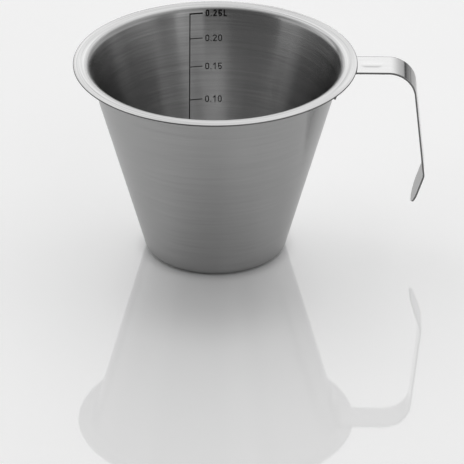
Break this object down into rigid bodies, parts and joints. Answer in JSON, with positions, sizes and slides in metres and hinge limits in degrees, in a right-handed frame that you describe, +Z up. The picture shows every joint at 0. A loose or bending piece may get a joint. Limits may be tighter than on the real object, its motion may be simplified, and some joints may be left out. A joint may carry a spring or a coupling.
{
  "type": "measuring cup",
  "caption": "Conical steel measuring cup with a flat pouring rim, an open strip handle and a printed inside scale.",
  "frame": {"origin": "on the table, at the centre of the ring that the cup stands on", "axes": "+Z up along the cup's axis, +X towards the handle, +Y towards the wall that carries the scale"},
  "size_m": [0.1228, 0.099, 0.0714],
  "materials": {
    "cup_steel": "stainless steel with fine brush lines around the cup",
    "handle_steel": "smooth stainless strip with fine lines along it",
    "weld_steel": "dull spot-weld dent",
    "scale_ink": "black printed ink"
  },
  "bodies": {
    "root": {"cup": "cup_steel", "handle": "handle_steel", "spot_weld_upper": "weld_steel", "spot_weld_lower": "weld_steel", "scale_line": "scale_ink", "tick_050ml": "scale_ink", "tick_100ml": "scale_ink", "tick_150ml": "scale_ink", "tick_200ml": "scale_ink", "tick_250ml": "scale_ink", "number_050ml": "scale_ink", "number_100ml": "scale_ink", "number_150ml": "scale_ink", "number_200ml": "scale_ink", "number_250ml": "scale_ink"}
  },
  "joints": []
}
